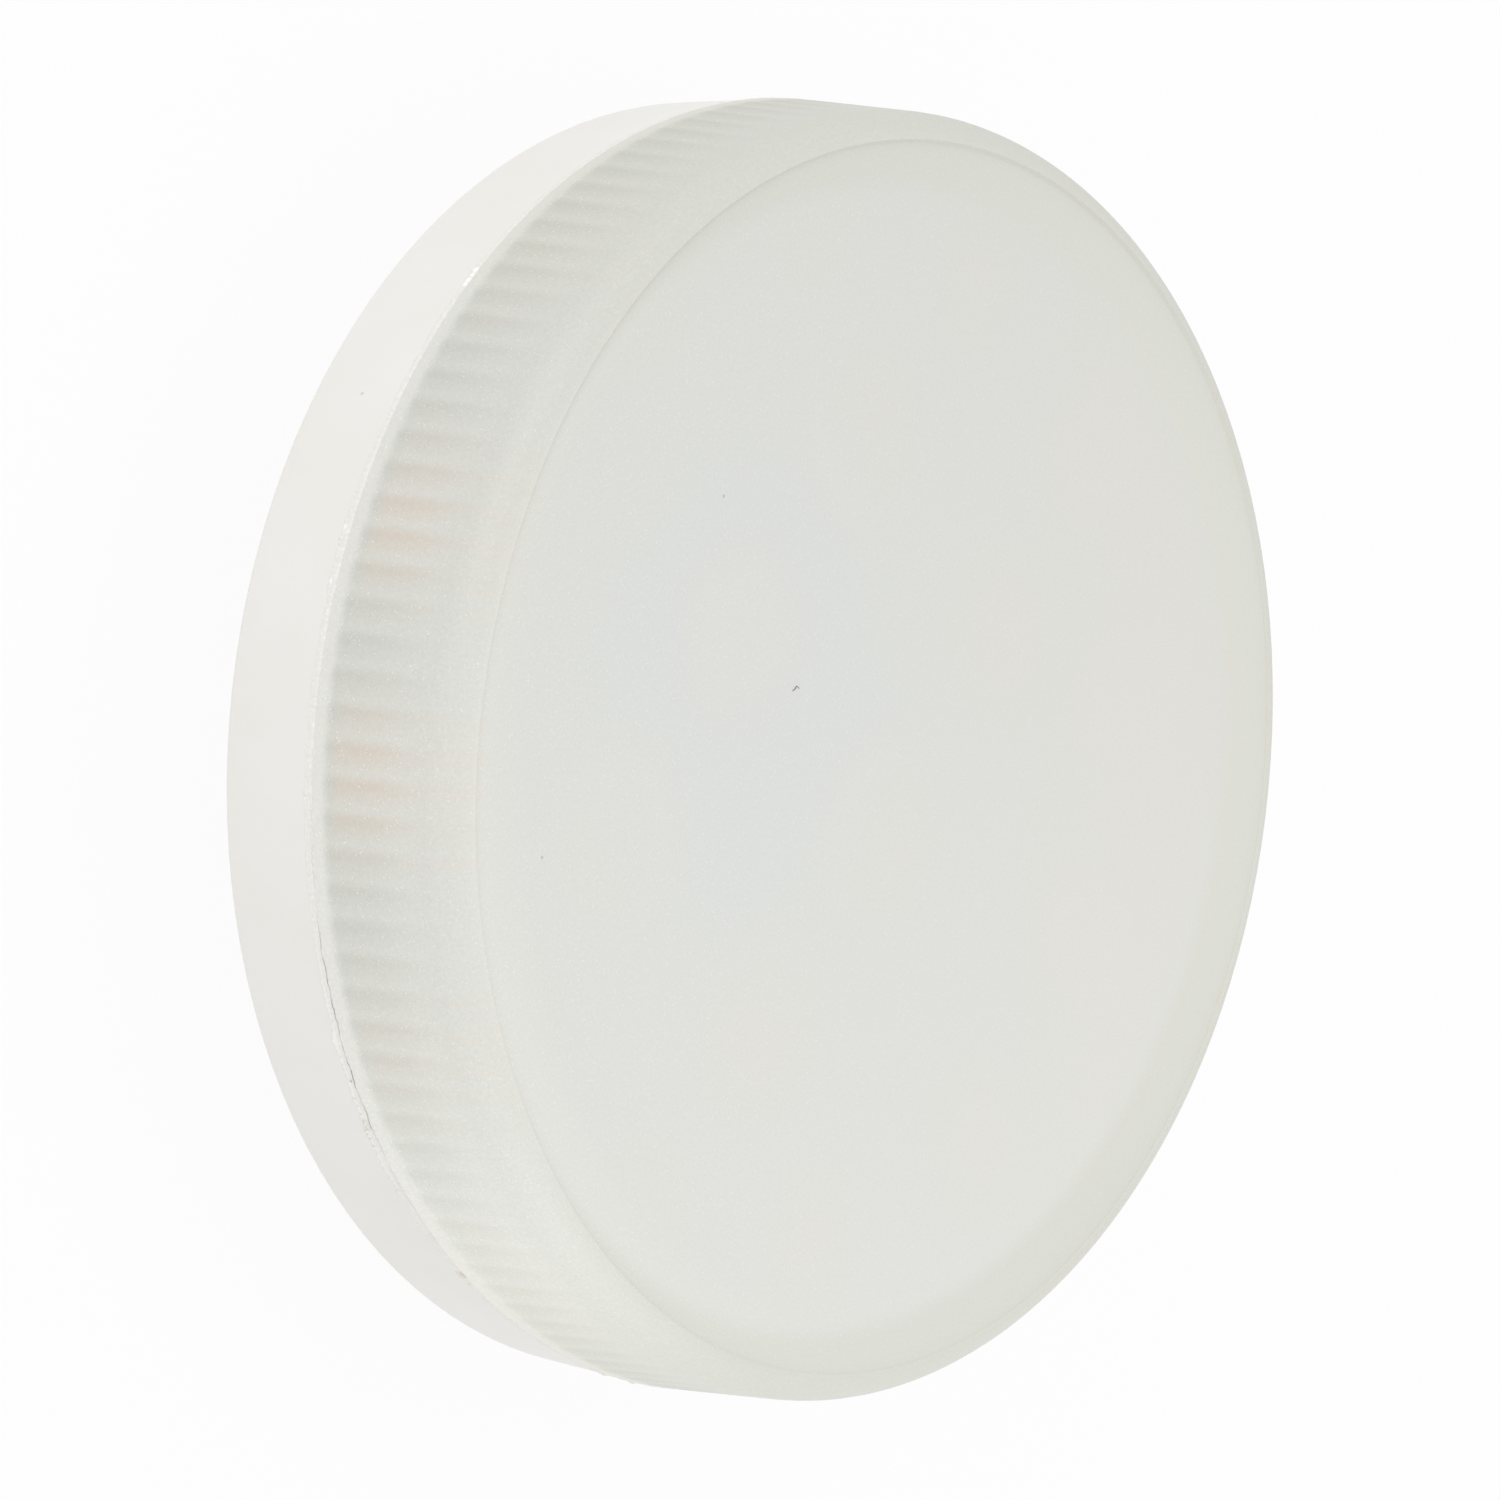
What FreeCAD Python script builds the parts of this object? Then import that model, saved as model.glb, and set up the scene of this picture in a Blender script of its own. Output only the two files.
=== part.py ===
import FreeCAD, Part
import math
import os

from FreeCAD import Vector

# A flat round LED lamp with two contact pins. Millimetres, +Z from the boss to the lit face.
# The origin is the centre of the boss's end face, on which the lamp lies.

# Overall form
seam_radius = 37.5          # widest circle, at the seam of diffuser and housing
boss_height = 9.6           # end of the boss to the seating face
boss_radius = 20.75
boss_core_draft = 0.15      # radius the boss's hollow loses towards its end
boss_end_round = 0.8
boss_root_round = 0.4
band_depth = 6.75           # seating face to the seam
band_draft = 0.2            # radius lost from the seam to the seating face
back_edge_round = 0.3
diffuser_height = 10.1      # seam to the top of the shoulder
rim_setback = 0.05          # the housing's rim stands this far inside the diffuser's

# Housing walls
back_wall = 1.5
boss_wall = 1.6
boss_end_wall = 1.8
side_wall = 1.85
rib_count = 12
rib_thickness = 1.2
rib_height = 2.0
rib_phase = 20.0            # degrees, clear of the contact pins
rib_gap_to_boss = 2.0       # keeps a wire channel round the boss's mouth

# Seam: the diffuser's tongue stands in a rebate of the housing's rim
tongue_length = 1.6
tongue_wall = 1.0
rebate_clearance = 0.08
tongue_end_gap = 0.1
seam_bevel = 0.22
bead_proud = 0.1            # height of the squeezed-out bead over the wall

# Diffuser
diffuser_wall = 1.5
face_wall = 1.5
side_lean = 0.65            # radius lost from the seam to the shoulder
shoulder_round = 2.28
inner_shoulder_round = 1.2
face_ring_turn = 16.0       # degrees of the shoulder's round left off at the face's ring
face_ring_step = 0.16       # depth of the fine step at the ring
flange_height = 1.0         # plain band over the seam
flute_count = 120
flute_depth = 0.5

# Heat spreader and LED board
plate_edge_gap = 0.5
spreader_thickness = 1.2
board_thickness = 1.0
board_setback = 0.5         # the LED board is this much smaller in radius than the spreader
wire_hole_radius = 4.0
led_length = 3.5
led_width = 2.8
led_height = 0.75
led_window_wall = 0.35
led_window_depth = 0.3
outer_led_count = 12
outer_led_setback = 5.6     # board's edge to the centres of the outer LEDs
outer_led_phase = 5.0
middle_led_radius = 16.8
middle_led_angles = [20.0, 80.0, 200.0, 260.0]
inner_led_radius = 8.5
inner_led_angles = [140.0, 320.0]

# Board screws
screw_angles = [80.0, 200.0, 320.0]
screw_setback = 5.4         # spreader's edge to the screws' axes
screw_radius = 1.25
screw_length = 4.4
screw_head_radius = 2.3
screw_head_height = 1.5
screw_slot_width = 0.7
screw_slot_depth = 0.8
screw_hole_clearance = 0.3
screw_boss_radius = 2.8
pilot_clearance = 0.03
pilot_end_gap = 0.2

# Contact pins
pin_offset = 5.75           # boss's wall to a pin's axis: pins at 53 mm centres
pin_head_radius = 2.5
pin_head_height = 1.8
pin_head_round = 0.6
pin_shank_radius = 1.65
pin_flange_radius = 2.7     # flange sunk flush with the seating face
pin_flange_height = 0.6
pin_flange_clearance = 0.05
pin_reach = 6.4             # seating face to the end of the head
pin_hole_clearance = 0.03
rivet_radius = 2.4
rivet_height = 0.6
tag_thickness = 0.4
tag_radius = 3.0
tag_tail_width = 2.6
tag_tail_length = 5.2       # pin axis to the end of the tail

# Driver
driver_gap = 0.5            # edge of the driver board to the boss's wall
driver_lift = 1.2
driver_thickness = 1.0
post_radius = 1.7
stake_radius = 0.8
stake_clearance = 0.1
stake_head_radius = 1.3
stake_head_height = 0.5
post_setback = 1.9          # board's edge to the posts' axes
post_angles = [90.0, 215.0, 325.0]

# Driver parts: places are fractions of the board's radius
leg_radius = 0.3
leg_bend = 0.75
bulk_place = (-0.0811, 0.5568)
bulk_radius = 4.0
bulk_length = 14.0
bulk_crimp_place = 2.2      # can's end to its crimped neck
bulk_crimp_depth = 0.5
bulk_edge_round = 0.5
bulk_leg_offset = 1.75
bulk_leg_reach = 2.2
output_place = (0.1405, 0.1027)
output_radius = 3.15
output_height = 7.6
output_crimp_place = 1.6
output_crimp_depth = 0.4
output_edge_round = 0.4
inductor_place = (-0.4432, -0.1189)
inductor_flange_radius = 4.3
inductor_hub_radius = 1.8
inductor_flange_thickness = 1.2
inductor_height = 7.4
winding_radius = 3.7
winding_ridge = 0.18
winding_turns = 7
resistor_place = (-0.3459, -0.6054)
resistor_length = 8.0
resistor_end_radius = 1.6
resistor_waist_radius = 1.35
resistor_end_length = 1.6
resistor_leg_reach = 1.7
package_stand_off = 0.1
package_lead_thickness = 0.2
bridge_place = (-0.7027, 0.3027)
bridge_length = 4.7
bridge_width = 3.9
bridge_height = 2.5
bridge_lead_pitch = 2.54
bridge_lead_width = 0.6
bridge_lead_reach = 1.2
chip_place = (0.1946, -0.2811)
chip_length = 4.9
chip_width = 3.9
chip_height = 1.6
chip_lead_pitch = 1.27
chip_lead_width = 0.42
chip_lead_reach = 1.0
diode_place = (0.573, -0.2703)
diode_length = 4.2
diode_width = 2.6
diode_height = 2.2
diode_lead_width = 1.4
diode_lead_reach = 0.8
film_place = (0.3459, -0.6054)
film_length = 9.6
film_width = 4.0
film_height = 7.2
film_bevel = 0.4
varistor_place = (0.6054, 0.0865)
varistor_radius = 3.2
varistor_thickness = 2.6
varistor_rim = 0.7
small_length = 2.0          # chip resistors, each with its turn in degrees
small_width = 1.25
small_height = 0.5
small_places = [
    (-0.0865, -0.3459, 0),
    (-0.0865, -0.4541, 0),
    (0.4541, 0.1405, 90),
    (0.4541, -0.0649, 90),
    (-0.7892, -0.3243, 60),
    (-0.3676, 0.2378, 0),
]

# Leads
lead_radius = 0.55
lead_bend = 1.6
mains_lead_setback = 2.5    # board's edge to the mains leads' feet
mains_lead_y = -3.0
led_lead_x = -1.9
led_lead_plus_y = 1.6
led_lead_minus_y = -0.9
led_lead_lift = 0.1         # the solder holds the wires this far off the board
led_pad_x = -6.4
solder_radius = 1.15
solder_height = 1.5

# Levels and radii worked out from the sizes above
seat_z = boss_height
seam_z = seat_z + band_depth
front_z = seam_z + diffuser_height
floor_z = seat_z + back_wall
spreader_z = floor_z + rib_height
board_z = spreader_z + spreader_thickness
led_z = board_z + board_thickness
driver_z = boss_end_wall + driver_lift
parts_z = driver_z + driver_thickness
housing_back_radius = seam_radius - rim_setback - band_draft
housing_inner_radius = housing_back_radius - side_wall
boss_inner_radius = boss_radius - boss_wall
rim_radius = seam_radius - rim_setback
tongue_inner_radius = housing_inner_radius
tongue_radius = tongue_inner_radius + tongue_wall
rebate_radius = tongue_radius + rebate_clearance
ledge_z = seam_z - tongue_length - tongue_end_gap
spreader_radius = housing_inner_radius - plate_edge_gap
board_radius = spreader_radius - board_setback
screw_circle_radius = spreader_radius - screw_setback
driver_radius = boss_inner_radius - boss_core_draft - driver_gap
pin_x = boss_radius + pin_offset
outer_led_radius = board_radius - outer_led_setback
post_circle_radius = driver_radius - post_setback
mains_lead_x = driver_radius - mains_lead_setback


def polar(radius, angle, z=0.0):
    """The point at a radius and an angle in degrees about the lamp's axis."""
    turn = math.radians(angle)
    return Vector(radius * math.cos(turn), radius * math.sin(turn), z)


def revolved(outline):
    """A solid of revolution about Z from (radius, z) corners."""
    corners = [Vector(radius, 0, z) for radius, z in outline]
    wire = Part.makePolygon(corners + [corners[0]])
    return Part.Face(wire).revolve(Vector(0, 0, 0), Vector(0, 0, 1), 360)


def disc(radius, height, z, centre=Vector(0, 0, 0)):
    """An upright cylinder that stands at z over the given centre."""
    return Part.makeCylinder(radius, height, Vector(centre.x, centre.y, z), Vector(0, 0, 1))


def block(length, width, height, centre, z, angle=0.0):
    """A box centred over a point, turned about its own upright axis."""
    corner = Vector(-length / 2.0, -width / 2.0, 0)
    solid = Part.makeBox(length, width, height, corner)
    solid.rotate(Vector(0, 0, 0), Vector(0, 0, 1), angle)
    solid.translate(Vector(centre.x, centre.y, z))
    return solid


def circle_edges(solid, radius, z):
    """The circular edges of one radius at one level."""
    found = []
    for edge in solid.Edges:
        curve = edge.Curve
        if isinstance(curve, Part.Circle):
            if abs(curve.Radius - radius) < 1e-4 and abs(curve.Center.z - z) < 1e-4:
                found.append(edge)
    return found


def tube_along(points, radius, bend):
    """A round wire of straight runs joined by tangent arcs of one bend radius."""
    edges = []
    start = points[0]
    for before, corner, after in zip(points, points[1:], points[2:]):
        back = (before - corner).normalize()
        ahead = (after - corner).normalize()
        half_turn = (math.pi - back.getAngle(ahead)) / 2.0
        setback = bend * math.tan(half_turn)
        arc_start = corner + back * setback
        arc_end = corner + ahead * setback
        inward = (back + ahead).normalize()
        arc_middle = corner + inward * (bend / math.cos(half_turn) - bend)
        edges.append(Part.LineSegment(start, arc_start).toShape())
        edges.append(Part.Arc(arc_start, arc_middle, arc_end).toShape())
        start = arc_end
    edges.append(Part.LineSegment(start, points[-1]).toShape())
    path = Part.Wire(edges)
    heading = points[1] - points[0]
    section = Part.Wire(Part.makeCircle(radius, points[0], heading))
    return path.makePipeShell([section], True, False)


def tangent_wall(foot, centre, radius):
    """The angle at which a line from the foot touches a circle from outside."""
    run = math.hypot(foot[0] - centre[0], foot[1] - centre[1])
    lean = math.atan2(foot[1] - centre[1], foot[0] - centre[0])
    return lean + math.acos(radius / run)


def on_circle(centre, radius, turn):
    return Vector(centre[0] + radius * math.cos(turn), 0, centre[1] + radius * math.sin(turn))


def make_housing():
    """White moulding: boss, annular back with ribs, side band and rim rebate."""
    body = revolved([
        (0, 0),
        (boss_radius, 0),
        (boss_radius, seat_z),
        (housing_back_radius, seat_z),
        (rim_radius, seam_z - seam_bevel),
        (rim_radius - seam_bevel, seam_z),
        (rebate_radius, seam_z),
        (rebate_radius, ledge_z),
        (housing_inner_radius, ledge_z),
        (housing_inner_radius, floor_z),
        (boss_inner_radius, floor_z),
        (boss_inner_radius - boss_core_draft, boss_end_wall),
        (0, boss_end_wall),
    ])
    body = body.makeFillet(boss_end_round, circle_edges(body, boss_radius, 0))
    body = body.makeFillet(boss_root_round, circle_edges(body, boss_radius, seat_z))
    body = body.makeFillet(back_edge_round, circle_edges(body, housing_back_radius, seat_z))

    added = []
    rib_start = boss_radius + rib_gap_to_boss
    rib_end = housing_inner_radius + side_wall / 4.0
    for index in range(rib_count):
        angle = rib_phase + index * 360.0 / rib_count
        middle = polar((rib_start + rib_end) / 2.0, angle)
        length = rib_end - rib_start
        root = back_wall / 2.0
        added.append(block(length, rib_thickness, rib_height + root, middle, floor_z - root, angle))
    for angle in screw_angles:
        root = back_wall / 2.0
        place = polar(screw_circle_radius, angle)
        added.append(disc(screw_boss_radius, rib_height + root, floor_z - root, place))
    for angle in post_angles:
        root = boss_end_wall / 2.0
        place = polar(post_circle_radius, angle)
        stake_height = driver_lift + driver_thickness + root
        added.append(disc(post_radius, driver_lift + root, boss_end_wall - root, place))
        added.append(disc(stake_radius, stake_height, boss_end_wall - root, place))
        added.append(disc(stake_head_radius, stake_head_height, parts_z, place))
    body = body.fuse(added)

    holes = []
    for side in (1, -1):
        place = Vector(side * pin_x, 0, 0)
        holes.append(disc(pin_shank_radius + pin_hole_clearance, back_wall * 3, seat_z - back_wall, place))
        recess_radius = pin_flange_radius + pin_flange_clearance
        holes.append(disc(recess_radius, pin_flange_height * 2, seat_z - pin_flange_height, place))
    for angle in screw_angles:
        depth = board_thickness + spreader_thickness + rib_height + back_wall
        pilot_z = led_z - screw_length - pilot_end_gap
        holes.append(disc(screw_radius + pilot_clearance, depth, pilot_z, polar(screw_circle_radius, angle)))
    return body.cut(holes).removeSplitter()


def flute_ring(valley_radius, crest_radius, z, height):
    """A prism whose wall is scalloped into round-backed ribs that point inwards."""
    pitch = 360.0 / flute_count
    arcs = []
    for index in range(flute_count):
        left = polar(valley_radius, (index - 0.5) * pitch, z)
        crest = polar(crest_radius, index * pitch, z)
        right = polar(valley_radius, (index + 0.5) * pitch, z)
        arcs.append(Part.Arc(left, crest, right).toShape())
    return Part.Face(Part.Wire(arcs)).extrude(Vector(0, 0, height))


def make_diffuser():
    """Frosted cap: tongue, plain flange, leaning fluted wall, round shoulder and ringed face."""
    centre = (seam_radius - side_lean - shoulder_round, front_z - shoulder_round)
    foot = (seam_radius, seam_z + seam_bevel)
    wall_turn = tangent_wall(foot, centre, shoulder_round)
    lip_turn = math.pi / 2.0 - math.radians(face_ring_turn)
    wall_top = on_circle(centre, shoulder_round, wall_turn)
    lip = on_circle(centre, shoulder_round, lip_turn)
    middle = on_circle(centre, shoulder_round, (wall_turn + lip_turn) / 2.0)
    face_z = lip.z - face_ring_step
    tongue_z = seam_z - tongue_length
    corners = [
        lip,
        Vector(lip.x - face_ring_step, 0, face_z),
        Vector(0, 0, face_z),
        Vector(0, 0, tongue_z),
        Vector(tongue_radius, 0, tongue_z),
        Vector(tongue_radius, 0, seam_z),
        Vector(seam_radius - seam_bevel, 0, seam_z),
        Vector(foot[0], 0, foot[1]),
        wall_top,
    ]
    edges = [Part.LineSegment(a, b).toShape() for a, b in zip(corners, corners[1:])]
    edges.append(Part.Arc(wall_top, middle, lip).toShape())
    outside = Part.Face(Part.Wire(edges)).revolve(Vector(0, 0, 0), Vector(0, 0, 1), 360)

    flute_z = seam_z + flange_height
    inner_z = face_z - face_wall
    root = seam_radius - diffuser_wall
    inner_radius = root - side_lean - inner_shoulder_round
    inner_centre = (inner_radius, inner_z - inner_shoulder_round)
    inner_turn = tangent_wall((root, flute_z), inner_centre, inner_shoulder_round)
    inner_top = on_circle(inner_centre, inner_shoulder_round, inner_turn)
    inner_middle = on_circle(inner_centre, inner_shoulder_round, (inner_turn + math.pi / 2.0) / 2.0)
    inner_edge = Vector(inner_radius, 0, inner_z)
    corners = [inner_edge, Vector(0, 0, inner_z), Vector(0, 0, flute_z), Vector(root, 0, flute_z), inner_top]
    edges = [Part.LineSegment(a, b).toShape() for a, b in zip(corners, corners[1:])]
    edges.append(Part.Arc(inner_top, inner_middle, inner_edge).toShape())
    hollow = Part.Face(Part.Wire(edges)).revolve(Vector(0, 0, 0), Vector(0, 0, 1), 360)
    crest = root - flute_depth
    hollow = hollow.common(flute_ring(root + flute_depth / 5.0, crest, flute_z, inner_z - flute_z + 1.0))
    mouth = disc(tongue_inner_radius, tongue_length + flange_height + 1.0, tongue_z - 1.0)
    return outside.cut(hollow).cut(mouth)


def make_seam_bead():
    """Cured bead squeezed out of the joint, seated in the groove of the two bevels."""
    crown = seam_bevel / 2.0
    return revolved([
        (rim_radius - seam_bevel, seam_z),
        (rim_radius, seam_z - seam_bevel),
        (seam_radius + bead_proud, seam_z - crown),
        (seam_radius + bead_proud, seam_z + crown),
        (seam_radius, seam_z + seam_bevel),
        (seam_radius - seam_bevel, seam_z),
    ])


def drilled_plate(radius, thickness, z):
    """A round plate with its central wire hole and its screw holes."""
    plate = disc(radius, thickness, z)
    holes = [disc(wire_hole_radius, thickness * 3, z - thickness)]
    for angle in screw_angles:
        place = polar(screw_circle_radius, angle)
        holes.append(disc(screw_radius + screw_hole_clearance, thickness * 3, z - thickness, place))
    return plate.cut(holes)


def on_driver(place, z=0.0):
    """The point over the driver board for a place in fractions of its radius."""
    return Vector(place[0] * driver_radius, place[1] * driver_radius, z)


def led_places():
    """Radius and angle of each LED: a ring near the rim and six inside it."""
    places = []
    for index in range(outer_led_count):
        places.append((outer_led_radius, outer_led_phase + index * 360.0 / outer_led_count))
    for angle in middle_led_angles:
        places.append((middle_led_radius, angle))
    for angle in inner_led_angles:
        places.append((inner_led_radius, angle))
    return places


def make_led(radius, angle):
    """Surface-mounted package with the shallow window that holds its phosphor."""
    place = polar(radius, angle)
    body = block(led_width, led_length, led_height, place, led_z, angle)
    window_width = led_width - 2 * led_window_wall
    window_length = led_length - 2 * led_window_wall
    window_z = led_z + led_height - led_window_depth
    window = block(window_width, window_length, led_height, place, window_z, angle)
    return body.cut(window)


def make_phosphor(radius, angle):
    """Yellow gel that fills one package's window."""
    width = led_width - 2 * led_window_wall
    length = led_length - 2 * led_window_wall
    window_z = led_z + led_height - led_window_depth
    return block(width, length, led_window_depth, polar(radius, angle), window_z, angle)


def make_board_screw(angle):
    """Pan-head self-tapping screw with a slot across its head."""
    half_head = screw_head_height / 2.0
    screw = revolved([
        (0, led_z - screw_length),
        (screw_radius * 0.5, led_z - screw_length),
        (screw_radius, led_z - screw_length + screw_radius),
        (screw_radius, led_z),
        (screw_head_radius, led_z),
        (screw_head_radius, led_z + half_head),
        (screw_head_radius * 0.6, led_z + screw_head_height),
        (0, led_z + screw_head_height),
    ])
    slot_z = led_z + screw_head_height - screw_slot_depth
    slot_long = screw_head_radius * 3
    slot = block(slot_long, screw_slot_width, screw_head_height, Vector(0, 0, 0), slot_z, angle)
    screw = screw.cut(slot)
    screw.translate(polar(screw_circle_radius, angle))
    return screw


def make_contact_pin(side):
    """Turned pin: mushroom head, shank, sunk flange and the rivet end inside."""
    head_z = seat_z - pin_reach
    flange_z = seat_z + pin_flange_height
    rivet_z = floor_z + tag_thickness
    pin = revolved([
        (0, head_z),
        (pin_head_radius, head_z),
        (pin_head_radius, head_z + pin_head_height),
        (pin_shank_radius, head_z + pin_head_height + (pin_head_radius - pin_shank_radius) / 2.0),
        (pin_shank_radius, seat_z),
        (pin_flange_radius, seat_z),
        (pin_flange_radius, flange_z),
        (pin_shank_radius, flange_z),
        (pin_shank_radius, rivet_z),
        (rivet_radius, rivet_z),
        (rivet_radius * 0.7, rivet_z + rivet_height),
        (0, rivet_z + rivet_height),
    ])
    pin = pin.makeFillet(pin_head_round, circle_edges(pin, pin_head_radius, head_z))
    pin.translate(Vector(side * pin_x, 0, 0))
    return pin


def make_pin_tag(side):
    """Stamped solder tag held under the rivet, its tail towards the driver."""
    tag = disc(tag_radius, tag_thickness, floor_z)
    tail_centre = Vector(-tag_tail_length / 2.0, 0, 0)
    tail = block(tag_tail_length, tag_tail_width, tag_thickness, tail_centre, floor_z)
    hole = disc(pin_shank_radius + pin_hole_clearance, tag_thickness * 3, floor_z - tag_thickness)
    tag = tag.fuse(tail).cut(hole).removeSplitter()
    if side < 0:
        tag.rotate(Vector(0, 0, 0), Vector(0, 0, 1), 180)
    tag.translate(Vector(side * pin_x, 0, 0))
    return tag


def make_driver_board():
    """Round circuit board on three posts, staked through its holes."""
    board = disc(driver_radius, driver_thickness, driver_z)
    holes = []
    for angle in post_angles:
        place = polar(post_circle_radius, angle)
        hole_radius = stake_radius + stake_clearance
        holes.append(disc(hole_radius, driver_thickness * 3, driver_z - driver_thickness, place))
    return board.cut(holes)


def bent_legs(body, spots):
    """A lying body with wire legs that leave it at axis height and turn down to the board."""
    legs = []
    for start, knee in spots:
        foot = Vector(knee.x, knee.y, parts_z)
        legs.append(tube_along([start, knee, foot], leg_radius, leg_bend))
    return body.fuse(legs)


def capacitor_can(radius, length, crimp_place, crimp_depth, edge_round):
    """Electrolytic can along Z with its crimped neck near the foot."""
    return revolved([
        (0, 0),
        (radius - edge_round, 0),
        (radius, edge_round),
        (radius, crimp_place - crimp_depth),
        (radius - crimp_depth, crimp_place),
        (radius, crimp_place + crimp_depth),
        (radius, length - edge_round),
        (radius - edge_round, length),
        (0, length),
    ])


def make_bulk_capacitor():
    """Mains capacitor that lies on the board, with its two legs."""
    place = on_driver(bulk_place, parts_z + bulk_radius)
    can = capacitor_can(bulk_radius, bulk_length, bulk_crimp_place, bulk_crimp_depth, bulk_edge_round)
    can.translate(Vector(0, 0, -bulk_length / 2.0))
    can.rotate(Vector(0, 0, 0), Vector(0, 1, 0), -90)
    can.translate(place)
    spots = []
    for side in (1, -1):
        start = place + Vector(bulk_length / 2.0 - bulk_edge_round, side * bulk_leg_offset, 0)
        knee = place + Vector(bulk_length / 2.0 + bulk_leg_reach, side * bulk_leg_offset, 0)
        spots.append((start, knee))
    return bent_legs(can, spots)


def make_output_capacitor():
    """Small capacitor that stands on the board."""
    can = capacitor_can(output_radius, output_height,
                        output_crimp_place, output_crimp_depth, output_edge_round)
    can.translate(on_driver(output_place, parts_z))
    return can


def make_inductor_core():
    """Ferrite drum: two flanges on a hub."""
    core = revolved([
        (0, 0),
        (inductor_flange_radius, 0),
        (inductor_flange_radius, inductor_flange_thickness),
        (inductor_hub_radius, inductor_flange_thickness),
        (inductor_hub_radius, inductor_height - inductor_flange_thickness),
        (inductor_flange_radius, inductor_height - inductor_flange_thickness),
        (inductor_flange_radius, inductor_height),
        (0, inductor_height),
    ])
    core.translate(on_driver(inductor_place, parts_z))
    return core


def make_inductor_winding():
    """Copper winding that fills the drum's waist, its turns as shallow ridges."""
    low = inductor_flange_thickness
    high = inductor_height - inductor_flange_thickness
    pitch = (high - low) / winding_turns
    valley = winding_radius - winding_ridge
    outline = [(inductor_hub_radius, high), (inductor_hub_radius, low), (valley, low)]
    for index in range(winding_turns):
        outline.append((winding_radius, low + (index + 0.5) * pitch))
        outline.append((valley, low + (index + 1) * pitch))
    winding = revolved(outline)
    winding.translate(on_driver(inductor_place, parts_z))
    return winding


def make_fusible_resistor():
    """Axial resistor with swollen ends and two bent legs."""
    cap_radius = resistor_end_radius * 0.6
    rise = resistor_end_length / 3.0
    fall = resistor_end_length * 0.8
    place = on_driver(resistor_place, parts_z + resistor_end_radius)
    body = revolved([
        (0, 0),
        (cap_radius, 0),
        (resistor_end_radius, rise),
        (resistor_end_radius, fall),
        (resistor_waist_radius, resistor_end_length),
        (resistor_waist_radius, resistor_length - resistor_end_length),
        (resistor_end_radius, resistor_length - fall),
        (resistor_end_radius, resistor_length - rise),
        (cap_radius, resistor_length),
        (0, resistor_length),
    ])
    body.translate(Vector(0, 0, -resistor_length / 2.0))
    body.rotate(Vector(0, 0, 0), Vector(0, 1, 0), 90)
    body.translate(place)
    spots = []
    for side in (1, -1):
        start = place + Vector(side * (resistor_length / 2.0 - rise), 0, 0)
        knee = place + Vector(side * (resistor_length / 2.0 + resistor_leg_reach), 0, 0)
        spots.append((start, knee))
    return bent_legs(body, spots)


def moulded_package(length, width, height, lead_pitch, leads_per_side, lead_width, lead_reach, place):
    """Moulded chip body with stepped leads along its two long sides."""
    stand_off = package_stand_off
    lead_thickness = package_lead_thickness
    body_height = height - stand_off
    knee_z = stand_off + body_height * 0.4
    body = block(length, width, body_height, place, parts_z + stand_off)
    leads = []
    for side in (1, -1):
        for index in range(leads_per_side):
            x = place.x + (index - (leads_per_side - 1) / 2.0) * lead_pitch
            edge = place.y + side * width / 2.0
            outer = edge + side * lead_reach / 2.0
            shelf_y = edge + side * lead_reach / 4.0
            foot_y = outer + side * lead_reach / 4.0
            shelf = block(lead_width, lead_reach / 2.0 + lead_thickness, lead_thickness,
                          Vector(x, shelf_y, 0), parts_z + knee_z)
            drop = block(lead_width, lead_thickness, knee_z + lead_thickness, Vector(x, outer, 0), parts_z)
            foot = block(lead_width, lead_reach / 2.0, lead_thickness, Vector(x, foot_y, 0), parts_z)
            leads += [shelf, drop, foot]
    return body.fuse(leads).removeSplitter()


def make_bridge_rectifier():
    """Four-lead package that rectifies the mains."""
    return moulded_package(bridge_length, bridge_width, bridge_height, bridge_lead_pitch, 2,
                           bridge_lead_width, bridge_lead_reach, on_driver(bridge_place))


def make_driver_chip():
    """Eight-lead package that switches the inductor."""
    return moulded_package(chip_length, chip_width, chip_height, chip_lead_pitch, 4,
                           chip_lead_width, chip_lead_reach, on_driver(chip_place))


def make_freewheel_diode():
    """Two-lead package with a lead at each end."""
    diode = moulded_package(diode_width, diode_length, diode_height, 0, 1,
                            diode_lead_width, diode_lead_reach, Vector(0, 0, 0))
    diode.rotate(Vector(0, 0, 0), Vector(0, 0, 1), 90)
    diode.translate(on_driver(diode_place))
    return diode


def make_film_capacitor():
    """Boxed film capacitor with bevelled top edges."""
    body = block(film_length, film_width, film_height, on_driver(film_place), parts_z)
    top = [edge for edge in body.Edges if edge.BoundBox.ZMin > parts_z + film_height - 1e-4]
    return body.makeChamfer(film_bevel, top)


def make_varistor():
    """Dipped disc that stands on edge, its rim rounded."""
    body = revolved([
        (0, 0),
        (varistor_radius - varistor_rim, 0),
        (varistor_radius, varistor_rim),
        (varistor_radius, varistor_thickness - varistor_rim),
        (varistor_radius - varistor_rim, varistor_thickness),
        (0, varistor_thickness),
    ])
    body.rotate(Vector(0, 0, 0), Vector(0, 1, 0), 90)
    body.translate(on_driver(varistor_place, parts_z + varistor_radius))
    return body


def make_chip_resistors():
    """Small resistors of one size, soldered flat between the larger parts."""
    solids = []
    for x, y, angle in small_places:
        solids.append(block(small_length, small_width, small_height, on_driver((x, y)), parts_z, angle))
    return Part.makeCompound(solids)


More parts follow.
